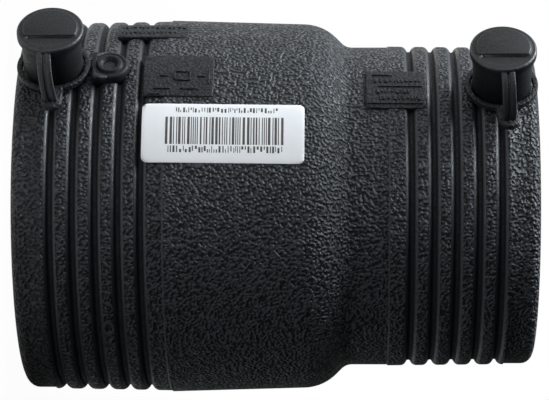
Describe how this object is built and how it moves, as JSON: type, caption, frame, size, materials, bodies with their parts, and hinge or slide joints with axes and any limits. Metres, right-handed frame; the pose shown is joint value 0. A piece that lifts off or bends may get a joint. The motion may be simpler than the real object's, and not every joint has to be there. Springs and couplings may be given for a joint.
{
  "type": "electrofusion coupler",
  "caption": "Reducing electrofusion coupler in black polyethylene: stepped grooved sleeve with a pipe socket at each end, capped contact terminals, a fusion indicator and a label.",
  "frame": {"origin": "on the bore axis in the plane of the large mouth", "axes": "+Z along the bore from the large mouth to the small mouth, +X from the axis towards the two contact terminals"},
  "size_m": [0.1099, 0.0964, 0.13],
  "materials": {
    "body_polyethylene": "leather-grained matt, smooth panels and grooves",
    "cap_plastic": "satin moulded",
    "contact_brass": "bright turned",
    "heating_wire_metal": "drawn wire",
    "indicator_polyethylene": "moulded",
    "label_paper": "semi-matt printed film"
  },
  "bodies": {
    "coupler": {"body": "body_polyethylene", "heating_wire": "heating_wire_metal", "contact_pins": "contact_brass", "label": "label_paper"},
    "large_cap": {"large_terminal_cap": "cap_plastic"},
    "small_cap": {"small_terminal_cap": "cap_plastic"},
    "indicator": {"fusion_indicator": "indicator_polyethylene"}
  },
  "joints": [
    {"name": "large_cap_slide", "type": "slide", "parent": "coupler", "child": "large_cap", "axis": [1, 0, 0], "range_m": [0, 0.0094]},
    {"name": "small_cap_slide", "type": "slide", "parent": "coupler", "child": "small_cap", "axis": [1, 0, 0], "range_m": [0, 0.0094]},
    {"name": "indicator_rise", "type": "slide", "parent": "coupler", "child": "indicator", "axis": [1, 0, 0], "range_m": [0, 0.0025]}
  ]
}
